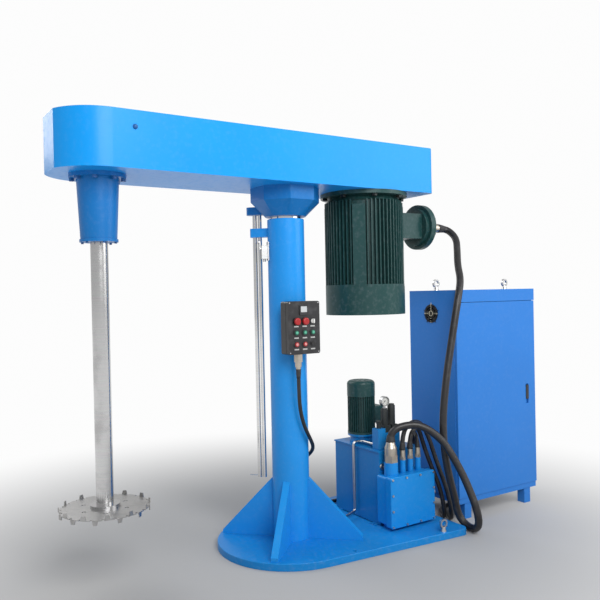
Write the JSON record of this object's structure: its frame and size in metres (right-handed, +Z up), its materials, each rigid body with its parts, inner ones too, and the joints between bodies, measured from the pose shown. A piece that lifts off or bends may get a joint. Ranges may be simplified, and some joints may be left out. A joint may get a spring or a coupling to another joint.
{
  "type": "high-speed mixer",
  "caption": "High-speed disperser: hydraulic column lifts a belt-drive beam with finned motor and toothed disc on a spindle, with oil unit, junction box, cables and cabinet.",
  "frame": {"origin": "the column's axis at the floor, on the base plate's underside", "axes": "+X runs along the beam from the column towards the motor and the cabinet, +Y away from the control box and the cabinet door, +Z up"},
  "size_m": [3.18, 1.1332, 2.388],
  "materials": {
    "base_paint": "gloss",
    "column_paint": "gloss",
    "beam_paint": "gloss",
    "head_paint": "gloss",
    "tank_paint": "gloss",
    "box_paint": "gloss",
    "cabinet_paint": "satin",
    "motor_paint": "semi-gloss",
    "chrome": "polished",
    "spindle_steel": "ground",
    "dark_steel": "oiled",
    "zinc_steel": "zinc plated",
    "disc_steel": "brushed",
    "cast_iron": "machined",
    "belt_rubber": "matte",
    "cable_rubber": "satin",
    "brass": "satin",
    "black_box": "semi-gloss",
    "meter_plastic": "gloss",
    "dark_plastic": "matte",
    "coil_plastic": "matte",
    "gear_plastic": "matte",
    "guard_paint": "satin",
    "green_plastic": "gloss",
    "red_plastic": "gloss",
    "black_plastic": "gloss",
    "aluminium": "machined"
  },
  "bodies": {
    "base": {"base_plate": "base_paint", "column_gussets": "column_paint", "column_tube": "column_paint", "column_gland": "column_paint", "rod_bracket": "column_paint", "limit_switch": "dark_plastic", "lifting_eyebolts": "zinc_steel", "oil_tank": "tank_paint", "tank_lid": "tank_paint", "pump_motor_frame": "motor_paint", "pump_motor_cowl": "motor_paint", "oil_pump": "cast_iron", "valve_block": "tank_paint", "solenoid_valves": "coil_plastic", "pressure_gauge": "zinc_steel", "oil_pipe": "zinc_steel", "junction_box": "box_paint", "junction_cover": "box_paint", "junction_bolts": "zinc_steel", "cable_glands": "brass", "control_box": "black_box", "panel_meter": "meter_plastic", "control_cable": "cable_rubber", "motor_cable": "cable_rubber", "supply_cable_1": "cable_rubber", "supply_cable_2": "cable_rubber", "cabinet_shell": "cabinet_paint", "switchgear": "gear_plastic", "fan_guard": "guard_paint"},
    "pump_rotor": {"pump_fan": "aluminium"},
    "needle": {"gauge_needle": "black_plastic"},
    "fan_wheel": {"cabinet_fan": "black_plastic"},
    "door": {"cabinet_door": "cabinet_paint"},
    "handle": {"door_handle": "black_plastic"},
    "mushroom_1": {"mushroom_button_1": "red_plastic"},
    "mushroom_2": {"mushroom_button_2": "red_plastic"},
    "selector": {"selector_knob": "black_plastic"},
    "green_1": {"green_button_1": "green_plastic"},
    "green_2": {"green_button_2": "green_plastic"},
    "green_3": {"green_button_3": "green_plastic"},
    "red_1": {"red_button_1": "red_plastic"},
    "red_2": {"red_button_2": "red_plastic"},
    "black": {"black_button": "black_plastic"},
    "lift": {"ram": "chrome", "head_block": "head_paint", "beam_housing": "beam_paint", "beam_cover": "beam_paint", "spindle_housing": "head_paint", "flange_bolts": "zinc_steel", "motor_frame": "motor_paint", "motor_cowl": "motor_paint", "terminal_box": "motor_paint", "motor_gland": "brass", "guide_rods": "chrome", "drive_belts": "belt_rubber"},
    "spindle": {"spindle_shaft": "spindle_steel", "dispersing_disc": "disc_steel", "driven_pulley": "cast_iron"},
    "motor": {"motor_rotor": "spindle_steel", "drive_pulley": "cast_iron"}
  },
  "joints": [
    {"name": "lift_slide", "type": "slide", "parent": "base", "child": "lift", "axis": [0, 0, 1], "range_m": [0, 1]},
    {"name": "spindle_spin", "type": "hinge", "parent": "lift", "child": "spindle", "pos_m": [-1.1145, 0, 2], "axis": [0, 0, 1], "continuous": true},
    {"name": "motor_spin", "type": "hinge", "parent": "lift", "child": "motor", "pos_m": [0.589, 0, 1.8], "axis": [0, 0, 1], "continuous": true},
    {"name": "pump_spin", "type": "hinge", "parent": "base", "child": "pump_rotor", "pos_m": [0.64, 0.131, 0.7], "axis": [0, 0, 1], "continuous": true},
    {"name": "cabinet_fan_spin", "type": "hinge", "parent": "base", "child": "fan_wheel", "pos_m": [1.084, -0.096, 1.331], "axis": [1, 0, 0], "continuous": true},
    {"name": "needle_swing", "type": "hinge", "parent": "base", "child": "needle", "pos_m": [0.64, -0.114, 0.79], "axis": [0, 1, 0], "range_deg": [0, 260]},
    {"name": "door_hinge", "type": "hinge", "parent": "base", "child": "door", "pos_m": [1.071, -0.32, 0.77], "axis": [0, 0, -1], "range_deg": [0, 100]},
    {"name": "handle_pull", "type": "hinge", "parent": "door", "child": "handle", "pos_m": [1.741, -0.314, 0.812], "axis": [-1, 0, 0], "range_deg": [0, 40]},
    {"name": "mushroom_push_1", "type": "slide", "parent": "base", "child": "mushroom_1", "axis": [0, 1, 0], "range_m": [0, 0.006], "stiffness_N_per_m": 600, "springref_m": -0.004},
    {"name": "mushroom_push_2", "type": "slide", "parent": "base", "child": "mushroom_2", "axis": [0, 1, 0], "range_m": [0, 0.006], "stiffness_N_per_m": 600, "springref_m": -0.004},
    {"name": "selector_turn", "type": "hinge", "parent": "base", "child": "selector", "pos_m": [0.034, -0.215, 1.324], "axis": [0, 1, 0], "range_deg": [-45, 45]},
    {"name": "green_push_1", "type": "slide", "parent": "base", "child": "green_1", "axis": [0, 1, 0], "range_m": [0, 0.005], "stiffness_N_per_m": 400, "springref_m": -0.004},
    {"name": "green_push_2", "type": "slide", "parent": "base", "child": "green_2", "axis": [0, 1, 0], "range_m": [0, 0.005], "stiffness_N_per_m": 400, "springref_m": -0.004},
    {"name": "green_push_3", "type": "slide", "parent": "base", "child": "green_3", "axis": [0, 1, 0], "range_m": [0, 0.005], "stiffness_N_per_m": 400, "springref_m": -0.004},
    {"name": "red_push_1", "type": "slide", "parent": "base", "child": "red_1", "axis": [0, 1, 0], "range_m": [0, 0.005], "stiffness_N_per_m": 400, "springref_m": -0.004},
    {"name": "red_push_2", "type": "slide", "parent": "base", "child": "red_2", "axis": [0, 1, 0], "range_m": [0, 0.005], "stiffness_N_per_m": 400, "springref_m": -0.004},
    {"name": "black_push", "type": "slide", "parent": "base", "child": "black", "axis": [0, 1, 0], "range_m": [0, 0.005], "stiffness_N_per_m": 400, "springref_m": -0.004}
  ],
  "couplings": [
    {"joint": "spindle_spin", "follows": "motor_spin", "ratio": 1}
  ]
}
